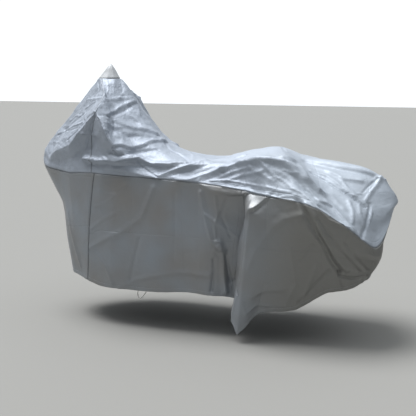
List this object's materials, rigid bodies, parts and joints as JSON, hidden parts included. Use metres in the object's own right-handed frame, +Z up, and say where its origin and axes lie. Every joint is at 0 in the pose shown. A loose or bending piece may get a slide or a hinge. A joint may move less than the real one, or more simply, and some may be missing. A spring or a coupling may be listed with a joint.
{
  "type": "motorcycle cover",
  "caption": "Fitted full-length cover of coated cloth for a motorcycle, tented over the screen and bars, with side skirts and an open underside.",
  "frame": {"origin": "on the underside of the top, over the seat, where the cover rests; the ground is 0.96 m below", "axes": "+X to the back of the motorcycle, +Z up, the left side at -Y"},
  "size_m": [2.2295, 0.8957, 1.4642],
  "materials": {
    "silver_cloth": "silver coated polyester, finely crumpled, half gloss",
    "grey_cloth": "grey coated polyester, soft packing creases, satin",
    "cap_cloth": "silver coated polyester, doubled and smoother",
    "loop_cord": "pale braided cord"
  },
  "bodies": {
    "root": {"peak_cap": "cap_cloth", "nose_panel": "silver_cloth", "hood_panel": "silver_cloth", "front_skirt": "grey_cloth", "left_skirt": "grey_cloth", "right_skirt": "grey_cloth", "hem_loop": "loop_cord"}
  },
  "joints": []
}
